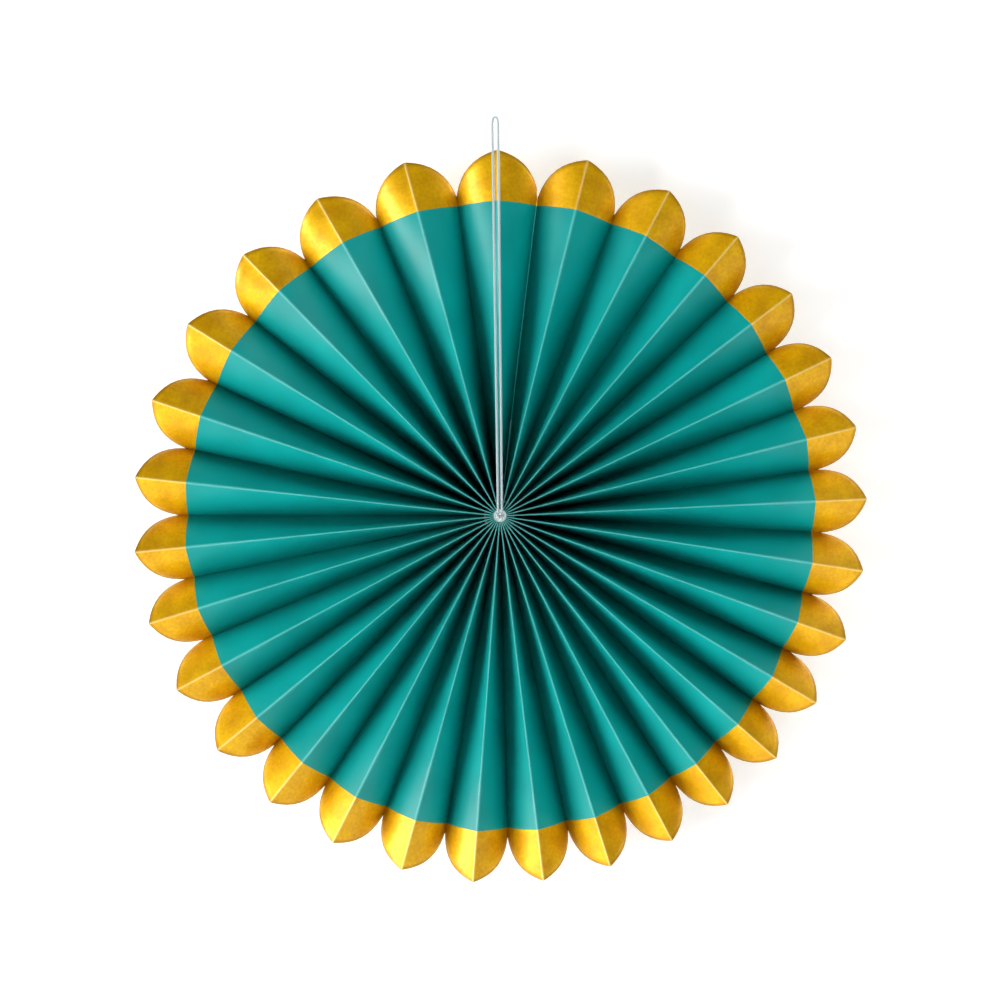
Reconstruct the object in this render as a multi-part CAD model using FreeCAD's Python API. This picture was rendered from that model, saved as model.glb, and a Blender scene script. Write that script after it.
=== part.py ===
import FreeCAD, Part
import math
import os

from FreeCAD import Vector

os.makedirs("parts", exist_ok=True)

# A hanging paper fan rosette: one long strip of card, folded into sharp pleats, is gathered
# along one edge by a string and taped end to end, so that it opens into a flat wheel.
# It is modelled lying down, front upwards, and stood up as it hangs at the end.
# Millimetres and degrees. Angles run clockwise from the top, seen from the front.

# Paper strip
pleat_count = 30
paper_thickness = 0.15
tip_radius = 115.0
notch_radius = 102.0
inner_radius = 2.0
rim_depth = 5.0            # pleat depth left at the rim of the widest pleat
crease_drop = 0.5 * paper_thickness   # a fold is crushed to half the paper's thickness

# Pleats open unevenly, as they settle by hand: each row is a swing that comes
# so many times round the wheel, its size, and where it starts
gather_offset = -3.9
gather_swings = [(1, 8.0, 18.0), (2, 1.7, 10.0), (3, 0.85, 60.0)]

# Petal edge, cut before folding: the side of a petal bulges through one point, given
# as shares of the petal's height and of the way from its ridge to its notch
petal_belly_height = 0.60
petal_belly_breadth = 0.65
slit_width = 0.4
trim_margin = 1.0          # how far the strip reaches past the petal tips before it is cut

# Seam: the strip's last panel turns behind its first one and is taped to it. It lies
# this many folds clockwise from the top petal's ridge.
seam_fold_count = 1
tape_thickness = 0.10
tape_clearance = 0.02
tape_width = 8.0
tape_inset = 1.0           # from the flap's free edge
flap_width = 11.5
free_edge_trim = 0.8       # the first panel stops short of the valley that it lies in

# Each panel twists as it opens, so it bends softly along this many lines across it,
# and lies flat between them. Flap and tape start this many bends out from the middle,
# and the tape ends at another.
bend_count = 8
flap_start_bend_count = 2
tape_end_bend_count = 6

# String
string_diameter = 0.8
gather_turn_radius = 4.6   # the turn that runs through all pleats
hole_clearance = 0.06      # round the string in each punched hole
string_sides = 6           # of the hidden turn's section
knot_width = 3.0
knot_depth = 2.4
knot_bevel = 0.7
knot_sink = 1.0            # how far the knot sits down into the middle hole
loop_height = 125.0        # top of the loop above the middle
loop_lean = -1.5           # the taut loop leans a little to one side
loop_set_back = 1.2        # and its top lies further back than its foot
strand_spacing_foot = 1.2  # between the centres of the loop's two strands
strand_spacing_top = 1.85
strand_clearance = 0.25    # over the crests in the middle
bend_reach = 0.45          # share of a run that the bend at its end takes up

trim_radius = tip_radius + trim_margin
first_fold = seam_fold_count
last_fold = seam_fold_count + 2 * pleat_count
sides_of_paper = ("front", "back")


def fold_angle(fold):
    even = fold * 180.0 / pleat_count
    swing = sum(size * math.sin(math.radians(turns * even + start))
                for turns, size, start in gather_swings)
    return gather_offset + even + swing


def half_pitch(fold):
    return (fold_angle(fold + 1) - fold_angle(fold - 1)) / 2.0


def chord(radius, angle):
    return 2.0 * radius * math.sin(math.radians(angle) / 2.0)


widest_half_pitch = max(half_pitch(fold) for fold in range(2 * pleat_count))
panel_width = math.hypot(chord(trim_radius, widest_half_pitch), rim_depth)


def is_ridge(fold):
    return fold % 2 == 0


def fold_height(fold, radius):
    # A panel keeps its width, so the wider its folds stand apart, the lower they are
    depth = math.sqrt(panel_width ** 2 - chord(radius, half_pitch(fold)) ** 2)
    return depth / 2.0 if is_ridge(fold) else -depth / 2.0


def plan_point(radius, angle, height=0.0):
    turn = math.radians(angle)
    return Vector(radius * math.sin(turn), radius * math.cos(turn), height)


def fold_point(fold, radius, side=0.0, rise=0.0):
    turn = math.radians(fold_angle(fold))
    clockwise = Vector(math.cos(turn), -math.sin(turn), 0.0)
    on_fold = plan_point(radius, fold_angle(fold), fold_height(fold, radius) + rise)
    return on_fold + clockwise * side


def bend_radius(bend):
    return inner_radius + (trim_radius - inner_radius) * bend / bend_count


def rail(point_at):
    # A line along the paper from the middle of the wheel to its rim, one point to a bend
    return [point_at(bend_radius(bend)) for bend in range(bend_count + 1)]


def crest_and_hollow(fold):
    # Which side of the paper the fold's crest shows on, and which its inside
    return sides_of_paper if is_ridge(fold) else sides_of_paper[::-1]


def fold_rails(fold):
    # The rails that bound the paper at a fold, on its front and on its back, each before
    # and after the fold. The crest of a fold has two, and its inside only one.
    before = rail(lambda radius: fold_point(fold, radius, -paper_thickness))
    after = rail(lambda radius: fold_point(fold, radius, paper_thickness))
    drop = -crease_drop if is_ridge(fold) else crease_drop
    inside = rail(lambda radius: fold_point(fold, radius, 0.0, drop))
    crest, hollow = crest_and_hollow(fold)
    return {crest: (before, after), hollow: (inside, inside)}


def valley_share(from_valley):
    # Share of the way across a panel, from its ridge, at a distance short of its valley
    return 1.0 - from_valley / panel_width


def extended(near, far, shares):
    # A rail beside two others, at its own share of the way from near to far at each bend
    return [start + (end - start) * share for start, end, share in zip(near, far, shares)]


def halfway(first, second):
    return extended(first, second, [0.5] * len(first))


def top_panel_back():
    # Back face of the panel on top at the seam: its rails at the ridge and in the valley
    return fold_rails(last_fold - 1)["back"][1], fold_rails(last_fold)["back"][0]


def top_panel_normals():
    # Towards the front, square to that face at each bend
    outward = plan_point(1.0, (fold_angle(last_fold - 1) + fold_angle(last_fold)) / 2.0)
    normals = [outward.cross(valley - ridge) for ridge, valley in zip(*top_panel_back())]
    return [normal.normalize() * math.copysign(1.0, normal.z) for normal in normals]


def sunk(points, depth):
    return [point - normal * depth for point, normal in zip(points, top_panel_normals())]


flap_front = tape_thickness + 2.0 * tape_clearance
flap_middle = flap_front + paper_thickness / 2.0
flap_back = flap_front + paper_thickness


def wrap_shares():
    # The panel beside the seam reaches past its valley until it meets the flap behind the
    # panel on top. Nearer the middle than the flap it reaches no further.
    ridge = halfway(*[fold_rails(first_fold + 1)[side][0] for side in sides_of_paper])
    valley = halfway(*[fold_rails(first_fold)[side][1] for side in sides_of_paper])
    shares = []
    for bend, normal in enumerate(top_panel_normals()):
        level = top_panel_back()[1][bend]
        ridge_depth = (level - ridge[bend]).dot(normal)
        valley_depth = (level - valley[bend]).dot(normal)
        shares.append((flap_middle - ridge_depth) / (valley_depth - ridge_depth))
    return [shares[max(bend, flap_start_bend_count)] for bend in range(bend_count + 1)]


def wrapped_edge(side):
    ridge = fold_rails(first_fold + 1)[side][0]
    valley = fold_rails(first_fold)[side][1]
    return extended(ridge, valley, wrap_shares())


def free_edge(side):
    ridge = fold_rails(last_fold - 1)[side][1]
    valley = fold_rails(last_fold)[side][0]
    return extended(ridge, valley, [valley_share(free_edge_trim)] * (bend_count + 1))


def along_panel(near, far, share):
    # A line along a panel, at one share of the way across, with a point on each bend and
    # one on each diagonal between bends, so that it lies in the panel's flat triangles
    points = []
    for bend in range(len(near) - 1):
        points.append(near[bend] + (far[bend] - near[bend]) * share)
        points.append(near[bend + 1] + (far[bend] - near[bend + 1]) * share)
    points.append(near[-1] + (far[-1] - near[-1]) * share)
    return points


def flat_face(*corners):
    return Part.Face(Part.makePolygon(list(corners) + [corners[0]]))


def panel_faces(near, far):
    # Two flat triangles between neighbouring bends
    faces = []
    for bend in range(len(near) - 1):
        faces.append(flat_face(near[bend], far[bend], near[bend + 1]))
        faces.append(flat_face(near[bend + 1], far[bend], far[bend + 1]))
    return faces


def flat_strip_faces(near, far):
    return [flat_face(near[place], far[place], far[place + 1], near[place + 1])
            for place in range(len(near) - 1)]


def end_faces(near_front, far_front, far_back, near_back):
    # The paper's thickness at both ends of a panel
    faces = []
    for end in (0, -1):
        faces.append(flat_face(near_front[end], far_front[end], near_back[end]))
        faces.append(flat_face(near_back[end], far_front[end], far_back[end]))
    return faces


def solid_from(faces):
    shell = Part.makeShell(faces)
    shell.sewShape()
    return Part.makeSolid(shell)


def slab(near_front, far_front, far_back, near_back):
    # A thin layer that follows a panel
    faces = flat_strip_faces(near_front, far_front) + flat_strip_faces(near_back, far_back)
    faces += panel_faces(near_front, near_back) + panel_faces(far_front, far_back)
    return solid_from(faces + end_faces(near_front, far_front, far_back, near_back))


def crest_faces(before, after, inside):
    # The crushed crest of a fold: a flat along it, and the paper's thickness at both ends
    ends = [flat_face(before[end], after[end], inside[end]) for end in (0, -1)]
    return flat_strip_faces(before, after) + ends


def pleated_strip():
    # Panel after panel, clockwise from the wrapped edge at the seam to the free edge
    front, back = [wrapped_edge(side) for side in sides_of_paper]
    faces = panel_faces(front, back)
    for fold in range(first_fold + 1, last_fold):
        rails = fold_rails(fold)
        next_front, next_back = [rails[side][0] for side in sides_of_paper]
        faces += panel_faces(front, next_front) + panel_faces(back, next_back)
        faces += end_faces(front, next_front, next_back, back)
        crest, hollow = crest_and_hollow(fold)
        faces += crest_faces(*rails[crest], rails[hollow][0])
        front, back = [rails[side][1] for side in sides_of_paper]
    last_front, last_back = [free_edge(side) for side in sides_of_paper]
    faces += panel_faces(front, last_front) + panel_faces(back, last_back)
    faces += end_faces(front, last_front, last_back, back)
    faces += panel_faces(last_front, last_back)
    return solid_from(faces)


def glue_flap():
    # The strip's last panel, cut narrow, from the fold in the seam's valley to its own edge
    ridge = top_panel_back()[0]
    fold = halfway(wrapped_edge("front"), wrapped_edge("back"))
    half = paper_thickness / 2.0
    lines = []
    for ridge_depth, fold_depth in ((flap_front, -half), (flap_back, half)):
        near = sunk(ridge, ridge_depth)[flap_start_bend_count:]
        far = sunk(fold, fold_depth)[flap_start_bend_count:]
        lines.append([along_panel(near, far, share) for share in (valley_share(flap_width), 1.0)])
    (near_front, far_front), (near_back, far_back) = lines
    return slab(near_front, far_front, far_back, near_back)


def seam_tape():
    far_edge = flap_width - tape_inset
    near_edge = far_edge - tape_width
    taped = slice(flap_start_bend_count, tape_end_bend_count + 1)
    lines = []
    for depth in (tape_clearance, tape_clearance + tape_thickness):
        ridge, valley = [sunk(edge, depth)[taped] for edge in top_panel_back()]
        lines.append([along_panel(ridge, valley, valley_share(place))
                      for place in (far_edge, near_edge)])
    (near_front, far_front), (near_back, far_back) = lines
    return slab(near_front, far_front, far_back, near_back)


def petal_outline():
    # The cut edge seen from the front: two arcs to each petal, with a fine slit between petals
    slit_turn = math.degrees(slit_width / 2.0 / notch_radius)
    belly_radius = notch_radius + petal_belly_height * (tip_radius - notch_radius)
    edges = []
    for ridge in range(0, 2 * pleat_count, 2):
        tip_turn = fold_angle(ridge)
        tip = plan_point(tip_radius, tip_turn)
        foot_turns = (fold_angle(ridge - 1) + slit_turn, fold_angle(ridge + 1) - slit_turn)
        feet = [plan_point(notch_radius, turn) for turn in foot_turns]
        bellies = [plan_point(belly_radius, tip_turn + petal_belly_breadth * (turn - tip_turn))
                   for turn in foot_turns]
        next_foot = plan_point(notch_radius, fold_angle(ridge + 1) + slit_turn)
        edges.append(Part.Arc(feet[0], bellies[0], tip).toShape())
        edges.append(Part.Arc(tip, bellies[1], feet[1]).toShape())
        edges.append(Part.makeLine(feet[1], next_foot))
    return Part.Wire(edges)


def petal_cutter():
    outline = Part.Face(petal_outline())
    outline.translate(Vector(0.0, 0.0, -panel_width))
    return outline.extrude(Vector(0.0, 0.0, 2.0 * panel_width))


def round_polygon(radius, sides):
    corners = [plan_point(radius, 360.0 * side / sides) for side in range(sides)]
    return flat_face(*corners)


def string_channel():
    # A square channel round the wheel, one side to a panel, that the turn of string runs in
    half = string_diameter / 2.0 + hole_clearance
    sides = 2 * pleat_count
    outer = round_polygon((gather_turn_radius + half) / math.cos(math.pi / sides), sides)
    channel = outer.cut(round_polygon(gather_turn_radius - half, sides))
    channel.translate(Vector(0.0, 0.0, -half))
    return channel.extrude(Vector(0.0, 0.0, 2.0 * half))


def pleated_paper():
    strip = pleated_strip().fuse(glue_flap())
    return strip.common(petal_cutter()).cut(string_channel())


def turned(section):
    # Round the axis of the wheel
    return section.revolve(Vector(0.0, 0.0, 0.0), Vector(0.0, 0.0, 1.0), 360.0)


def gathering_string():
    corners = []
    for corner in range(string_sides):
        turn = 2.0 * math.pi * corner / string_sides
        corners.append(Vector(gather_turn_radius + string_diameter / 2.0 * math.cos(turn), 0.0,
                              string_diameter / 2.0 * math.sin(turn)))
    return turned(flat_face(*corners))


def loop_knot():
    # A pulled-tight knot, drawn as a drum with its rims taken off, in the mouth of the middle
    back = Vector(0.0, 0.0, panel_width / 2.0 - knot_sink)
    drum = Part.makeCylinder(knot_width / 2.0, knot_depth, back)
    rims = [edge for edge in drum.Edges if isinstance(edge.Curve, Part.Circle)]
    return drum.makeChamfer(knot_bevel, rims)


def loop_route():
    # Up from the knot, round the top and down again
    foot_front = panel_width / 2.0 + strand_clearance + string_diameter / 2.0
    top_front = foot_front - loop_set_back
    top = loop_height - string_diameter / 2.0
    foot = knot_width / 4.0
    return [Vector(-strand_spacing_foot / 2.0, foot, foot_front),
            Vector(loop_lean - strand_spacing_top / 2.0, top, top_front),
            Vector(loop_lean + strand_spacing_top / 2.0, top, top_front),
            Vector(strand_spacing_foot / 2.0, foot, foot_front)]


def rounded_path(route):
    # Straight runs joined by arcs, each as large as its two runs allow
    edges = []
    start = route[0]
    for before, corner, after in zip(route, route[1:], route[2:]):
        run_in = corner - before
        run_out = after - corner
        reach = bend_reach * min(run_in.Length, run_out.Length)
        half_turn = run_in.getAngle(run_out) / 2.0
        radius = reach / math.tan(half_turn)
        print("bend radius", round(radius, 2))
        run_in.normalize()
        run_out.normalize()
        inwards = (run_out - run_in).normalize()
        arc_start = corner - run_in * reach
        arc_end = corner + run_out * reach
        arc_middle = corner + inwards * (radius / math.cos(half_turn) - radius)
        edges.append(Part.LineSegment(start, arc_start).toShape())
        edges.append(Part.Arc(arc_start, arc_middle, arc_end).toShape())
        start = arc_end
    edges.append(Part.LineSegment(start, route[-1]).toShape())
    return Part.Wire(edges)


def hanging_loop():
    route = loop_route()
    path = rounded_path(route)
    circle = Part.makeCircle(string_diameter / 2.0, route[0], route[1] - route[0])
    tube = path.makePipeShell([Part.Wire(circle)], True, False)
    expected = math.pi * string_diameter ** 2 / 4.0 * path.Length
    print("loop length", round(path.Length, 1), "volume share", round(tube.Volume / expected, 4))
    return tube.cut(loop_knot())


def hung_up(shape):
    # From lying front upwards to hanging with the front towards the viewer
    shape.rotate(Vector(0.0, 0.0, 0.0), Vector(1.0, 0.0, 0.0), 90.0)
    return shape


nodes = {
    "pleated_paper": pleated_paper,
    "seam_tape": seam_tape,
    "gathering_string": gathering_string,
    "loop_knot": loop_knot,
    "hanging_loop": hanging_loop,
}

for name, make in nodes.items():
    hung_up(make()).exportStep("parts/" + name + ".step")
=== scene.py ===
import math

import bpy
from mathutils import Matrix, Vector, noise


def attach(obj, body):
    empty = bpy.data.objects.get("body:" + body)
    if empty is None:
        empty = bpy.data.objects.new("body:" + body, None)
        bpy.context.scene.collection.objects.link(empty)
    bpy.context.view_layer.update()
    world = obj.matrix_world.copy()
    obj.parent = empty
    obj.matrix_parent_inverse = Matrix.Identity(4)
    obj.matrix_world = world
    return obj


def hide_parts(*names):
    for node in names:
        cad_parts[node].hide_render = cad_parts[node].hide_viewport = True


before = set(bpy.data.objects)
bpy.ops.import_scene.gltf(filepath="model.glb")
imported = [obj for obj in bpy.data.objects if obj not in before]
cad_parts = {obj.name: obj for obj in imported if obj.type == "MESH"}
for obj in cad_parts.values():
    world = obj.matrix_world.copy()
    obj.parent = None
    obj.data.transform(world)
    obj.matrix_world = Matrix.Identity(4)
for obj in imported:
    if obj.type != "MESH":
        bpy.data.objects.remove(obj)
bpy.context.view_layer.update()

# A pleated paper wheel with a teal print and gold foil petals, hung on a doubled white string.
# Sizes in millimetres, as in the part's source. Angles run clockwise from the top.

MM = 0.001

# Paper
pleat_count = 30
paper_thickness = 0.15
tip_radius = 115.0
notch_radius = 102.0
inner_radius = 2.0
rim_depth = 5.0
trim_radius = 116.0
print_radius = 98.85
crease_drop = 0.5 * paper_thickness
crest_rise = 0.35 * paper_thickness
gather_offset = -3.9
gather_swings = [(1, 8.0, 18.0), (2, 1.7, 10.0), (3, 0.85, 60.0)]
petal_belly_height = 0.60
petal_belly_breadth = 0.65

# Seam beside the top petal
first_fold = 1
last_fold = first_fold + 2 * pleat_count
free_edge_trim = 0.8
flap_width = 11.5
flap_inner_radius = 30.5
flap_depth = 0.14
flap_reach = 0.7
tape_inner_radius = 30.5
tape_outer_radius = 87.5
tape_thickness = 0.10
tape_clearance = 0.02
tape_width = 8.0
tape_inset = 1.0

# Mesh: places across a panel, from ridge to valley, and rows along it
panel_shares = (0.09, 0.2, 0.33, 0.47, 0.6, 0.72, 0.82, 0.9, 0.96)
closest_share = 0.01
body_rows = 40
petal_rows = 14
petal_row_closing = 1.6
flap_columns = 6
tape_rows = 40
tape_columns = 4
sharp_angle = 28.0

# Soft paper: a panel bows forwards by a share of the space between its folds, and waves a
# little, both from the first radius of their reach and in full at the second. Its cut edge
# curls back, and lies a little inside the part's.
bow_share = 0.15
bow_reach = (50.0, 100.0)
wave_height = 0.35
wave_reach = (15.0, 70.0)
wave_frequency = 0.022
edge_curl_width = 1.8
edge_curl_drop = 0.45
edge_inset = 0.05

# Print and foil: how far from a ridge or from the cut edge a change of colour is full, and where
# it is gone; along the foil's cut edge it is a painted shade. Then the radii between which the
# ridges' wear grows, and between which their rubbed colour turns from a painted shade, dim and grey
# in the middle, to its full pale.
print_wear_reach = (0.1, 0.6)
foil_wear_reach = (0.12, 0.5)
foil_edge_shade_reach = (0.3, 1.4)
wear_growth_reach = (12.0, 85.0)
worn_ridge_shade_reach = (10.0, 50.0)

# String
string_diameter = 0.8
ply_count = 3
ply_diameter = 0.46
ply_turn_length = 2.6
ply_turn_steps = 10
ply_corners = 8
knot_width = 3.0
knot_depth = 2.4
knot_sink = 1.0
knot_strand_radius = 0.42
knot_steps = 96
knot_corners = 12
loop_height = 125.0
loop_lean = -1.5
loop_set_back = 1.2
strand_spacing_foot = 1.2
strand_spacing_top = 1.85
strand_clearance = 0.25

# Stage, lamps and camera, in metres. A lamp's lean is its angle from the line of sight.
wall_back = 0.0115
floor_up = -0.30
stage_reach = 3.0
stage_glow = 0.48
world_light = 0.03
lamp_distance = 1.2
lamp_size = 0.7
front_lean = 66.0
back_lean = 114.0
seen_width = 0.315
seen_middle = 0.005


def hung(x, up, front):
    """A point of the lying wheel, put where it hangs, in metres."""
    return Vector((x, -front, up)) * MM


# Folds


def fold_angle(fold):
    even = fold * 180.0 / pleat_count
    swing = sum(size * math.sin(math.radians(turns * even + start))
                for turns, size, start in gather_swings)
    return gather_offset + even + swing


def half_pitch(fold):
    return (fold_angle(fold + 1) - fold_angle(fold - 1)) / 2.0


def chord(radius, angle):
    return 2.0 * radius * math.sin(math.radians(angle) / 2.0)


widest_half_pitch = max(half_pitch(fold) for fold in range(2 * pleat_count))
panel_width = math.hypot(chord(trim_radius, widest_half_pitch), rim_depth)


def is_ridge(fold):
    return fold % 2 == 0


def fold_height(fold, radius):
    depth = math.sqrt(panel_width ** 2 - chord(radius, half_pitch(fold)) ** 2)
    return depth / 2.0 if is_ridge(fold) else -depth / 2.0


def fold_point(fold, radius, side=0.0, rise=0.0):
    turn = math.radians(fold_angle(fold))
    height = fold_height(fold, radius) + rise
    return Vector((radius * math.sin(turn) + side * math.cos(turn),
                   radius * math.cos(turn) - side * math.sin(turn), height))


def fold_lines(fold):
    """How far each line of a fold lies to its side and above it: those on the front of the
    paper and those on its back. The crest has three lines and the inside one."""
    up = 1.0 if is_ridge(fold) else -1.0
    crest = [(-paper_thickness, 0.0), (0.0, up * crest_rise), (paper_thickness, 0.0)]
    inside = [(0.0, -up * crease_drop)]
    return (crest, inside) if is_ridge(fold) else (inside, crest)


# Petals


def plan_point(radius, angle):
    return Vector((math.sin(math.radians(angle)), math.cos(math.radians(angle)))) * radius


def circle_through(first, second, third):
    """The centre and radius of the circle through three points."""
    a, b = second - first, third - first
    cross = 2.0 * (a.x * b.y - a.y * b.x)
    offset = Vector((b.y * a.length_squared - a.y * b.length_squared,
                     a.x * b.length_squared - b.x * a.length_squared)) / cross
    return first + offset, offset.length


def petal_edge_radius(ridge_fold, valley_fold, share):
    """Where the petal's cut edge lies, at a share of the way from its ridge to its valley."""
    tip_angle = fold_angle(ridge_fold)
    swept = fold_angle(valley_fold) - tip_angle
    belly_radius = notch_radius + petal_belly_height * (tip_radius - notch_radius)
    tip = plan_point(tip_radius, tip_angle)
    belly = plan_point(belly_radius, tip_angle + petal_belly_breadth * swept)
    foot = plan_point(notch_radius, tip_angle + swept)
    centre, arc_radius = circle_through(tip, belly, foot)
    along = centre.dot(plan_point(1.0, tip_angle + share * swept))
    reach = along + math.sqrt(along ** 2 - centre.length_squared + arc_radius ** 2)
    return reach - edge_inset


# Soft panels


def smooth_step(low, high, value):
    share = min(max((value - low) / (high - low), 0.0), 1.0)
    return share * share * (3.0 - 2.0 * share)


def panel_normal(ridge, valley):
    """Towards the front, square to a panel between a point on each of its folds."""
    outward = Vector((ridge.x + valley.x, ridge.y + valley.y, 0.0))
    normal = outward.cross(valley - ridge).normalized()
    return normal * math.copysign(1.0, normal.z)


def on_panel(ridge, valley, share, depth=0.0, edge_gap=tip_radius):
    """A point between two on the panel's folds, on the bowed and slightly waved paper, which
    curls back where it comes near its cut edge."""
    radius = math.hypot(ridge.x, ridge.y)
    opening = math.hypot(ridge.x - valley.x, ridge.y - valley.y)
    bow = bow_share * opening * smooth_step(*bow_reach, radius)
    wave = wave_height * smooth_step(*wave_reach, radius) * noise.noise(ridge * wave_frequency)
    curl = edge_curl_drop * smooth_step(edge_curl_width, 0.0, edge_gap)
    rise = math.sin(math.pi * share) * (bow + wave - curl)
    return ridge.lerp(valley, share) + panel_normal(ridge, valley) * (rise - depth)


def behind_top_panel(radius, share, depth):
    """A point at some depth behind the back of the top panel at the seam."""
    top = last_fold - 1
    ridge = fold_point(top, radius, *fold_lines(top)[1][-1])
    valley = fold_point(last_fold, radius, *fold_lines(last_fold)[1][0])
    return on_panel(ridge, valley, share, depth)


# Paper mesh


def column_radii(edge_radius, start_radius):
    """Rows from the middle to the print's edge, then on to the petal's own edge, closest there."""
    rows = [start_radius + (print_radius - start_radius) * row / body_rows
            for row in range(body_rows + 1)]
    return rows + [edge_radius
                   - (edge_radius - print_radius) * (1.0 - row / petal_rows) ** petal_row_closing
                   for row in range(1, petal_rows + 1)]


class PaperMesh:
    """Collects the paper's columns of points, and the faces between them."""

    def __init__(self):
        self.points, self.faces, self.kinds, self.sheet = [], [], [], []

    def column(self, point_at, edge_radius, across, start_radius=inner_radius):
        """Points from the middle to the cut edge. Each keeps its place across and along the flat
        sheet, and its distance from that edge."""
        start = len(self.points)
        radii = column_radii(edge_radius, start_radius)
        self.points += [point_at(radius) for radius in radii]
        self.sheet += [(across, radius, edge_radius - radius) for radius in radii]
        return range(start, len(self.points))

    def face(self, corners, kind):
        self.faces.append(corners)
        self.kinds.append(kind)

    def skin(self, first, second, front):
        """Faces between two columns, on the front or on the back."""
        for row in range(len(first) - 1):
            corners = (first[row], second[row], second[row + 1], first[row + 1])
            kind = "print" if row < body_rows else "foil"
            self.face(corners if front else corners[::-1], kind)

    def edges(self, first, second):
        """The cut edges between two stations, at the middle and at the petals."""
        self.face((first.front[-1][0], first.back[-1][0],
                   second.back[0][0], second.front[0][0]), "cut")
        self.face((first.front[-1][-1], second.front[0][-1],
                   second.back[0][-1], first.back[-1][-1]), "cut")


class Station:
    """One place along the strip: its columns on the front and on the back."""

    def __init__(self, front, back):
        self.front, self.back = front, back


def fold_station(paper, fold):
    """The columns at a fold, and the faces of its crest."""
    edge = (tip_radius if is_ridge(fold) else notch_radius) - edge_inset
    across = fold * panel_width

    def columns(lines):
        return [paper.column(lambda radius: fold_point(fold, radius, side, rise),
                             edge, across + side) for side, rise in lines]

    front_lines, back_lines = fold_lines(fold)
    station = Station(columns(front_lines), columns(back_lines))
    if is_ridge(fold):
        crest, inside, front = station.front, station.back[0], True
    else:
        crest, inside, front = station.back, station.front[0], False
    for first, second in zip(crest, crest[1:]):
        paper.skin(first, second, front)
        near = (first[0], inside[0], second[0])
        far = (first[-1], second[-1], inside[-1])
        paper.face(near if front else near[::-1], "cut")
        paper.face(far if front else far[::-1], "cut")
    return station


def panel_station(paper, fold, share):
    """One column on each face of the panel between a fold and the next, at a share across."""
    ridge_fold, valley_fold = (fold, fold + 1) if is_ridge(fold) else (fold + 1, fold)
    ridge_share = share if is_ridge(fold) else 1.0 - share
    edge = petal_edge_radius(ridge_fold, valley_fold, ridge_share)
    sides = []
    for side in (0, 1):
        leaving, reaching = fold_lines(fold)[side][-1], fold_lines(fold + 1)[side][0]
        at_ridge, at_valley = (leaving, reaching) if is_ridge(fold) else (reaching, leaving)

        def point_at(radius):
            ridge = fold_point(ridge_fold, radius, *at_ridge)
            valley = fold_point(valley_fold, radius, *at_valley)
            return on_panel(ridge, valley, ridge_share, edge_gap=edge - radius)

        sides.append([paper.column(point_at, edge, (fold + share) * panel_width)])
    return Station(*sides)


def flap_station(paper, share):
    """One column on each face of the glue flap."""
    edge = petal_edge_radius(last_fold - 1, last_fold, share)
    across = (last_fold + 1.0 - share) * panel_width
    sides = [[paper.column(lambda radius: behind_top_panel(radius, share, depth),
                           edge, across, flap_inner_radius)]
             for depth in (flap_depth, flap_depth + paper_thickness)]
    return Station(*sides)


def end_faces(paper, station, forward):
    """The strip's first or last edge, where the print runs over the cut."""
    front, back = station.front[0], station.back[0]
    paper.skin(back, front, forward)


def join_stations(paper, stations):
    for first, second in zip(stations, stations[1:]):
        paper.skin(first.front[-1], second.front[0], True)
        paper.skin(first.back[-1], second.back[0], False)
        paper.edges(first, second)
    end_faces(paper, stations[0], True)
    end_faces(paper, stations[-1], False)


def pleated_strip(paper):
    """The strip from its first fold to its trimmed edge, once round the wheel."""
    end_share = 1.0 - free_edge_trim / panel_width
    stations = []
    for fold in range(first_fold, last_fold):
        stations.append(fold_station(paper, fold))
        shares = panel_shares if is_ridge(fold) else [1.0 - share for share in panel_shares[::-1]]
        stations += [panel_station(paper, fold, share) for share in shares
                     if fold < last_fold - 1 or share < end_share - closest_share]
    stations.append(panel_station(paper, last_fold - 1, end_share))
    join_stations(paper, stations)


def glue_flap(paper):
    """The flap behind the top panel, from its free edge to a little past the first fold."""
    free_share = 1.0 - flap_width / panel_width
    fold_share = 1.0 + flap_reach / panel_width
    stations = [flap_station(paper, free_share + (fold_share - free_share) * column / flap_columns)
                for column in range(flap_columns + 1)]
    join_stations(paper, stations)


def new_mesh(name, points, faces, materials):
    mesh = bpy.data.meshes.new(name)
    mesh.from_pydata(points, [], faces)
    for material in materials:
        mesh.materials.append(material)
    piece = bpy.data.objects.new(name, mesh)
    bpy.context.scene.collection.objects.link(piece)
    return piece


def make_paper(materials):
    paper = PaperMesh()
    pleated_strip(paper)
    glue_flap(paper)
    points = [hung(*point) for point in paper.points]
    piece = new_mesh("pleated_sheet", points, paper.faces, materials.values())
    mesh = piece.data
    kinds = list(materials)
    for face, kind in zip(mesh.polygons, paper.kinds):
        face.material_index = kinds.index(kind)
    for name in ("sheet", "rim"):
        mesh.uv_layers.new(name=name)
    sheet, rim = mesh.uv_layers["sheet"], mesh.uv_layers["rim"]
    for loop in mesh.loops:
        across, along, edge_gap = paper.sheet[loop.vertex_index]
        sheet.data[loop.index].uv = (across * MM, along * MM)
        rim.data[loop.index].uv = (edge_gap * MM, 0.0)
    mesh.shade_smooth()
    mesh.set_sharp_from_angle(angle=math.radians(sharp_angle))
    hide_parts("pleated_paper")
    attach(piece, "root")


# Tape


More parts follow.
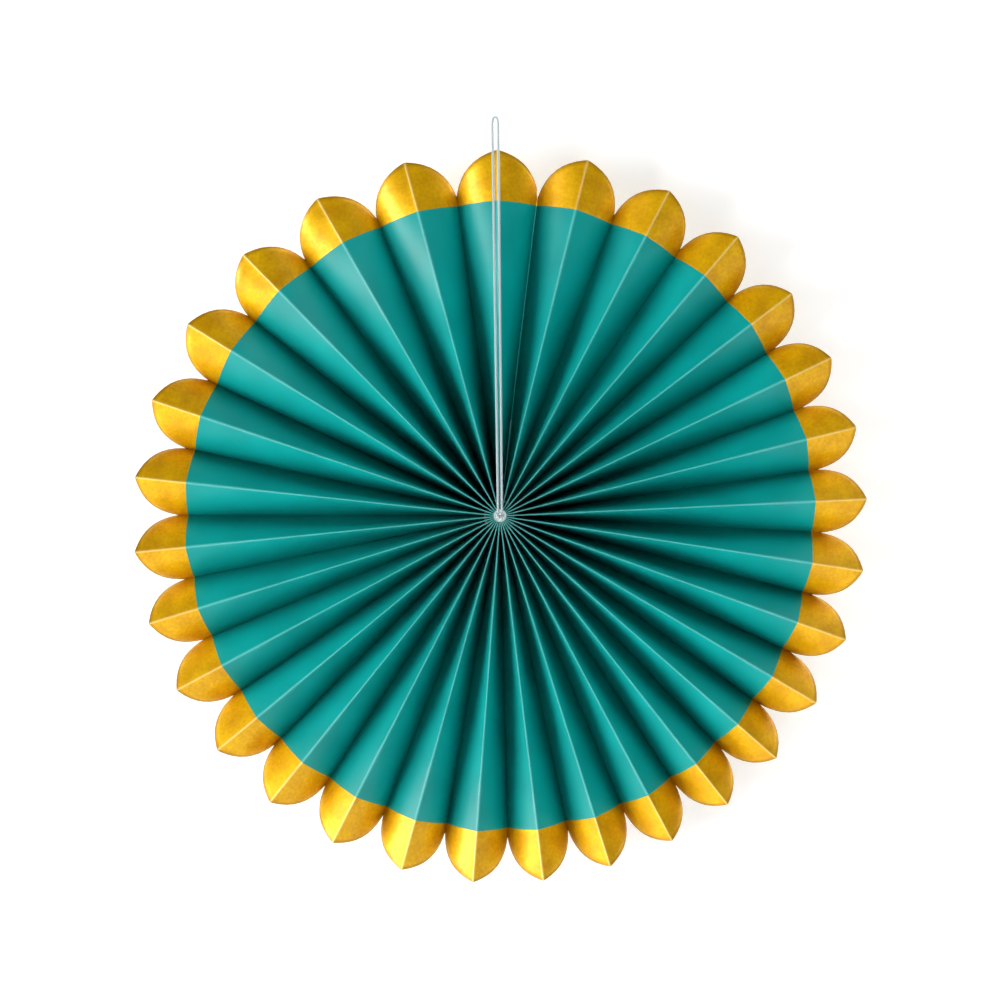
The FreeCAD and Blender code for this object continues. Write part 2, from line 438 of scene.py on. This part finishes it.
def make_tape(material):
    """The strip of tape between the top panel and the glue flap."""
    points, faces = [], []
    for depth in (tape_clearance, tape_clearance + tape_thickness):
        for row in range(tape_rows + 1):
            radius = tape_inner_radius + (tape_outer_radius - tape_inner_radius) * row / tape_rows
            for column in range(tape_columns + 1):
                from_valley = flap_width - tape_inset - tape_width * column / tape_columns
                share = 1.0 - from_valley / panel_width
                points.append(hung(*behind_top_panel(radius, share, depth)))
    across = tape_columns + 1
    layer = (tape_rows + 1) * across
    for row in range(tape_rows):
        for column in range(tape_columns):
            corner = row * across + column
            quad = (corner, corner + 1, corner + across + 1, corner + across)
            faces.append(quad)
            faces.append(tuple(place + layer for place in quad[::-1]))
    last_row = tape_rows * across
    outline = [*range(tape_columns), *range(tape_columns, last_row + tape_columns, across),
               *range(last_row + tape_columns, last_row, -1), *range(last_row, 0, -across)]
    for here, there in zip(outline, outline[1:] + outline[:1]):
        faces.append((there, here, here + layer, there + layer))
    piece = new_mesh("tape_strip", points, faces, [material])
    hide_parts("seam_tape")
    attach(piece, "root")


# String


def loop_route():
    """The route's points, as in the part's source."""
    foot_front = panel_width / 2.0 + strand_clearance + string_diameter / 2.0
    top_front = foot_front - loop_set_back
    top = loop_height - string_diameter / 2.0
    foot = knot_width / 4.0
    return [Vector((-strand_spacing_foot / 2.0, foot, foot_front)),
            Vector((loop_lean - strand_spacing_top / 2.0, top, top_front)),
            Vector((loop_lean + strand_spacing_top / 2.0, top, top_front)),
            Vector((strand_spacing_foot / 2.0, foot, foot_front))]


def spline_line(route):
    """The smooth line of a route: points read from its NURBS spline."""
    below_top = 6.0 * string_diameter
    left = route[1] + (route[0] - route[1]).normalized() * below_top
    right = route[2] + (route[3] - route[2]).normalized() * below_top
    points = [route[0], left, route[1], route[2], right, route[3]]
    curve = bpy.data.curves.new("loop_line", "CURVE")
    curve.dimensions = "3D"
    spline = curve.splines.new("NURBS")
    spline.points.add(len(points) - 1)
    for knot, point in zip(spline.points, points):
        knot.co = (*hung(*point), 1.0)
    spline.order_u = 3
    spline.use_endpoint_u = True
    spline.resolution_u = 12
    holder = bpy.data.objects.new("loop_line", curve)
    line = [vertex.co.copy() for vertex in bpy.data.meshes.new_from_object(holder).vertices]
    bpy.data.objects.remove(holder)
    return line


def evenly(line, step):
    """Points a step apart along a line."""
    points, left = [line[0].copy()], step
    for start, end in zip(line, line[1:]):
        run = (end - start).length
        travelled = 0.0
        while run - travelled >= left:
            travelled += left
            points.append(start.lerp(end, travelled / run))
            left = step
        left -= run - travelled
    return points + [line[-1].copy()]


def frames_along(line):
    """Two directions square to the line at each of its points, turning as little as possible."""
    frames = []
    side = Vector((0.0, 1.0, 0.0))
    for place in range(len(line)):
        ahead = (line[min(place + 1, len(line) - 1)] - line[max(place - 1, 0)]).normalized()
        side = (side - ahead * side.dot(ahead)).normalized()
        frames.append((side.copy(), ahead.cross(side)))
    return frames


def tube(line, frames, radius, corners, points, faces, closed=False):
    """Adds a tube along a line to a mesh's points and faces."""
    start = len(points)
    for centre, (side, other) in zip(line, frames):
        for corner in range(corners):
            turn = 2.0 * math.pi * corner / corners
            points.append(centre + side * math.cos(turn) * radius + other * math.sin(turn) * radius)
    rings = len(line)
    for ring in range(rings if closed else rings - 1):
        here, there = start + ring * corners, start + (ring + 1) % rings * corners
        for corner in range(corners):
            following = (corner + 1) % corners
            faces.append((here + corner, here + following, there + following, there + corner))
    if not closed:
        faces.append(tuple(range(start + corners - 1, start - 1, -1)))
        last = start + (rings - 1) * corners
        faces.append(tuple(range(last, last + corners)))


def make_loop(material, knot):
    """The doubled string, twisted from its plies."""
    line = evenly(spline_line(loop_route()), ply_turn_length * MM / ply_turn_steps)
    frames = frames_along(line)
    reach = (string_diameter - ply_diameter) / 2.0 * MM
    points, faces = [], []
    for ply in range(ply_count):
        strand = []
        for place, (centre, (side, other)) in enumerate(zip(line, frames)):
            turn = 2.0 * math.pi * (place / ply_turn_steps + ply / ply_count)
            strand.append(centre + side * math.cos(turn) * reach + other * math.sin(turn) * reach)
        tube(strand, frames_along(strand), ply_diameter / 2.0 * MM, ply_corners, points, faces)
    piece = new_mesh("string_loop", points, faces, [material])
    piece.data.shade_smooth()
    length = sum((end - start).length for start, end in zip(line, line[1:]))
    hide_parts("hanging_loop")
    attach(piece, "root")
    tuple(line[0])


def make_knot(material):
    """A trefoil of the same string, pulled tight."""
    breadth = (knot_width / 2.0 - knot_strand_radius) / 3.0
    depth = knot_depth / 2.0 - knot_strand_radius
    middle = panel_width / 2.0 - knot_sink + knot_depth / 2.0
    line = []
    for step in range(knot_steps):
        turn = 2.0 * math.pi * step / knot_steps
        line.append(hung(breadth * (math.sin(turn) + 2.0 * math.sin(2.0 * turn)),
                         breadth * (math.cos(turn) - 2.0 * math.cos(2.0 * turn)),
                         middle - depth * math.sin(3.0 * turn)))
    frames = []
    for step in range(knot_steps):
        ahead = (line[(step + 1) % knot_steps] - line[step - 1]).normalized()
        side = ahead.cross(Vector((0.0, 1.0, 0.0))).normalized()
        frames.append((side, ahead.cross(side)))
    points, faces = [], []
    tube(line, frames, knot_strand_radius * MM, knot_corners, points, faces, closed=True)
    piece = new_mesh("string_knot", points, faces, [material])
    piece.data.shade_smooth()
    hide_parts("loop_knot")
    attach(piece, "root")
    return piece


# Materials


class Shader:
    """A node material with its principled shader, and short calls for the nodes that feed it."""

    def __init__(self, name):
        self.material = bpy.data.materials.new(name)
        self.material.use_nodes = True
        self.tree = self.material.node_tree
        self.surface = self.tree.nodes["Principled BSDF"]

    def node(self, kind, inputs=(), **settings):
        made = self.tree.nodes.new(kind)
        for key, value in settings.items():
            setattr(made, key, value)
        for key, value in dict(inputs).items():
            self.put(made.inputs[key], value)
        return made

    def put(self, socket, value):
        if isinstance(value, bpy.types.NodeSocket):
            self.tree.links.new(value, socket)
        else:
            socket.default_value = value

    def set(self, **values):
        for key, value in values.items():
            self.put(self.surface.inputs[key.replace("_", " ")], value)

    def compute(self, operation, *values):
        made = self.node("ShaderNodeMath", operation=operation)
        for socket, value in zip(made.inputs, values):
            self.put(socket, value)
        return made.outputs[0]

    def ramp(self, value, low, high, to_low=0.0, to_high=1.0):
        return self.node("ShaderNodeMapRange", {
            "Value": value, "From Min": low, "From Max": high,
            "To Min": to_low, "To Max": to_high}, clamp=True).outputs[0]

    def over(self, distance, reach, start=0.0, end=1.0):
        """Goes from start to end over a reach in millimetres of a distance in metres."""
        near, far = reach
        return self.ramp(distance, near * MM, far * MM, start, end)

    def mix(self, share, first, second):
        made = self.node("ShaderNodeMix", data_type="RGBA")
        self.put(made.inputs[0], share)
        self.put(made.inputs[6], first)
        self.put(made.inputs[7], second)
        return made.outputs[2]

    def noise(self, where, scale, detail=2.0, roughness=0.5):
        return self.node("ShaderNodeTexNoise", {
            "Vector": where, "Scale": scale, "Detail": detail,
            "Roughness": roughness}).outputs[0]

    def bump(self, height, strength, depth):
        """A relief with a depth in millimetres."""
        made = self.node("ShaderNodeBump", {
            "Height": height, "Strength": strength, "Distance": depth * MM})
        self.set(Normal=made.outputs[0])

    def layer(self, name):
        """A layer of places, stored on the mesh in metres."""
        return self.node("ShaderNodeUVMap", uv_map=name).outputs[0]

    def axis(self, place, number):
        return self.node("ShaderNodeSeparateXYZ", {"Vector": place}).outputs[number]

    def object_place(self):
        return self.node("ShaderNodeTexCoord").outputs["Object"]


def colour(red, green, blue):
    """A screen colour, 0 to 255, as Blender's linear colour."""
    def linear(value):
        value /= 255.0
        return value / 12.92 if value <= 0.04045 else ((value + 0.055) / 1.055) ** 2.4
    return (linear(red), linear(green), linear(blue), 1.0)


def ridge_gap(shader, place):
    """Distance along the paper from the nearest ridge fold, in metres."""
    return shader.compute("PINGPONG", shader.axis(place, 0), panel_width * MM)


def print_material():
    """Teal and finely grained, with ridges rubbed pale, more so towards the rim, and their pale
    painted dim and grey near the middle as painted shade.
    """
    shader = Shader("teal_print")
    place = shader.layer("sheet")
    along = shader.axis(place, 1)
    grain = shader.noise(place, 2600.0, 2.0, 0.6)
    cloud = shader.noise(place, 60.0, 1.0)
    base = shader.mix(shader.ramp(cloud, 0.3, 0.7), colour(0, 138, 134), colour(0, 150, 146))
    base = shader.mix(shader.ramp(grain, 0.4, 0.75, 0.0, 0.25), base, colour(0, 162, 158))
    wear = shader.over(ridge_gap(shader, place), print_wear_reach, 1.0, 0.0)
    wear = shader.compute("MULTIPLY", wear, shader.over(along, wear_growth_reach, 0.35, 0.75))
    wear = shader.compute("MULTIPLY", wear, shader.ramp(grain, 0.25, 0.6, 0.55, 1.0))
    # Painted shade: the ridges' rubbed colour is dim and grey near the middle, and turns full pale
    # further out.
    worn_and_shaded = shader.mix(shader.over(along, worn_ridge_shade_reach),
                      colour(125, 160, 157), colour(105, 194, 190))
    base = shader.mix(wear, base, worn_and_shaded)
    shader.set(Base_Color=base, Roughness=0.45, Specular_IOR_Level=0.35)
    shader.bump(grain, 0.2, 0.03)
    return shader.material


def foil_material():
    """Crinkled gold, darker along its cut edge as painted shade, and paler along the ridges."""
    shader = Shader("gold_foil")
    place = shader.layer("sheet")
    crinkle = shader.noise(place, 900.0, 2.0, 0.5)
    soft = shader.noise(place, 150.0, 1.0)
    base = shader.mix(shader.ramp(soft, 0.3, 0.7), colour(220, 162, 0), colour(242, 190, 2))
    base = shader.mix(shader.ramp(crinkle, 0.35, 0.7, 0.0, 0.3), base, colour(180, 122, 0))
    edge_gap = shader.axis(shader.layer("rim"), 0)
    # Painted shade: the foil darkens towards its cut edge.
    base = shader.mix(shader.over(edge_gap, foil_edge_shade_reach, 0.6, 0.0), base, colour(150, 98, 6))
    wear = shader.over(ridge_gap(shader, place), foil_wear_reach, 0.6, 0.0)
    base = shader.mix(wear, base, colour(255, 226, 140))
    shader.set(Base_Color=base, Metallic=0.5, Specular_IOR_Level=0.2)
    shader.set(Roughness=shader.ramp(crinkle, 0.3, 0.7, 0.46, 0.58))
    shader.set(Coat_Weight=0.4, Coat_Roughness=0.32)
    height = shader.compute("ADD", crinkle, shader.compute("MULTIPLY", soft, 9.0))
    shader.bump(height, 0.6, 0.05)
    return shader.material


def cut_material():
    shader = Shader("paper_core")
    fibre = shader.noise(shader.layer("sheet"), 3000.0, 3.0)
    base = shader.mix(fibre, colour(214, 214, 200), colour(236, 234, 222))
    shader.set(Base_Color=base, Roughness=0.85)
    shader.bump(fibre, 0.3, 0.03)
    return shader.material


def string_material():
    shader = Shader("white_string_painted_shade")
    fibre = shader.noise(shader.object_place(), 5200.0, 3.0, 0.65)
    # The string is white; its grey-blue colour is painted shade.
    base = shader.mix(fibre, colour(150, 168, 173), colour(192, 204, 208))
    shader.set(Base_Color=base, Roughness=0.7, Sheen_Weight=0.2)
    shader.bump(fibre, 0.5, 0.05)
    return shader.material


def tape_material():
    shader = Shader("clear_tape")
    wrinkle = shader.noise(shader.object_place(), 400.0, 3.0)
    base = shader.mix(wrinkle, colour(222, 220, 205), colour(238, 236, 224))
    shader.set(Base_Color=base, Roughness=0.3)
    shader.bump(wrinkle, 0.2, 0.03)
    return shader.material


def stage_material():
    """White from the front, and clear from behind and to the lamps, so that it hides nothing."""
    shader = Shader("stage_white")
    ray = shader.node("ShaderNodeLightPath").outputs
    glow = shader.compute("MULTIPLY", ray["Is Camera Ray"], stage_glow)
    shader.set(Base_Color=(0.7, 0.7, 0.7, 1.0), Roughness=0.9, Specular_IOR_Level=0.0)
    shader.set(Emission_Color=(1.0, 1.0, 1.0, 1.0), Emission_Strength=glow)
    clear = shader.node("ShaderNodeBsdfTransparent")
    behind = shader.node("ShaderNodeNewGeometry").outputs["Backfacing"]
    through = shader.compute("MAXIMUM", behind, ray["Is Shadow Ray"])
    mixed = shader.node("ShaderNodeMixShader", {"Fac": through})
    output = shader.tree.nodes["Material Output"]
    shader.put(mixed.inputs[1], shader.surface.outputs[0])
    shader.put(mixed.inputs[2], clear.outputs[0])
    shader.put(output.inputs["Surface"], mixed.outputs[0])
    return shader.material


def dress_node(node, material):
    """Gives one of the part's own pieces a material."""
    mesh = bpy.data.objects[node].data
    mesh.materials.clear()
    mesh.materials.append(material)


# Stage, light and camera


def plain_plane(name, corners, material):
    piece = new_mesh(name, corners, [(0, 1, 2, 3)], [material])


def make_stage():
    """A wall close behind the wheel, and a floor below the picture."""
    material = stage_material()
    left, right, far = -stage_reach, stage_reach, stage_reach
    plain_plane("wall", [(left, wall_back, floor_up), (right, wall_back, floor_up),
                         (right, wall_back, far), (left, wall_back, far)], material)
    plain_plane("floor", [(left, -far, floor_up), (right, -far, floor_up),
                          (right, far, floor_up), (left, far, floor_up)], material)


def lamp(name, turn, lean, power, highlights=True):
    """A soft lamp, turned clockwise from the top and leaning away from the line of sight."""
    light = bpy.data.lights.new(name, "AREA")
    light.size = lamp_size
    light.energy = power
    holder = bpy.data.objects.new(name, light)
    turn, lean = math.radians(turn), math.radians(lean)
    place = Vector((math.sin(lean) * math.sin(turn), -math.cos(lean),
                    math.sin(lean) * math.cos(turn))) * lamp_distance
    holder.location = place
    holder.rotation_euler = (-place).to_track_quat("-Z", "Y").to_euler()
    holder.visible_glossy = highlights
    bpy.context.scene.collection.objects.link(holder)


def make_light():
    """Most light rakes in from the sides, and the most from the left, so valleys stay dark."""
    lamp("key", 262.0, front_lean, 18.5)
    lamp("high_fill", 30.0, front_lean, 9.5, highlights=False)
    lamp("low_fill", 150.0, front_lean, 2.6, highlights=False)
    lamp("back_key", 50.0, back_lean, 22.0)
    lamp("back_fill", 290.0, back_lean, 12.0)


def make_world():
    """White where the camera sees it, and faint as a light."""
    world = bpy.data.worlds.new("studio")
    world.use_nodes = True
    tree = world.node_tree
    ray = tree.nodes.new("ShaderNodeLightPath")
    strength = tree.nodes.new("ShaderNodeMapRange")
    strength.inputs["To Min"].default_value = world_light
    strength.inputs["To Max"].default_value = 1.0
    tree.links.new(ray.outputs["Is Camera Ray"], strength.inputs["Value"])
    tree.links.new(strength.outputs[0], tree.nodes["Background"].inputs["Strength"])
    tree.nodes["Background"].inputs["Color"].default_value = (1.0, 1.0, 1.0, 1.0)
    bpy.context.scene.world = world


def make_camera():
    """Straight in front of the wheel, with room for its loop."""
    camera = bpy.data.cameras.new("camera")
    camera.lens = 100.0
    camera.sensor_width = 36.0
    holder = bpy.data.objects.new("camera", camera)
    distance = seen_width * camera.lens / camera.sensor_width
    holder.location = (0.0, -distance, seen_middle)
    holder.rotation_euler = (math.radians(90.0), 0.0, 0.0)
    bpy.context.scene.collection.objects.link(holder)
    bpy.context.scene.camera = holder


make_camera()
white_string_painted_shade = string_material()
make_paper({"print": print_material(), "foil": foil_material(), "cut": cut_material()})
make_loop(white_string_painted_shade, make_knot(white_string_painted_shade))
dress_node("gathering_string", white_string_painted_shade)
make_tape(tape_material())
make_stage()
make_light()
make_world()
bpy.context.scene.view_settings.view_transform = "Standard"
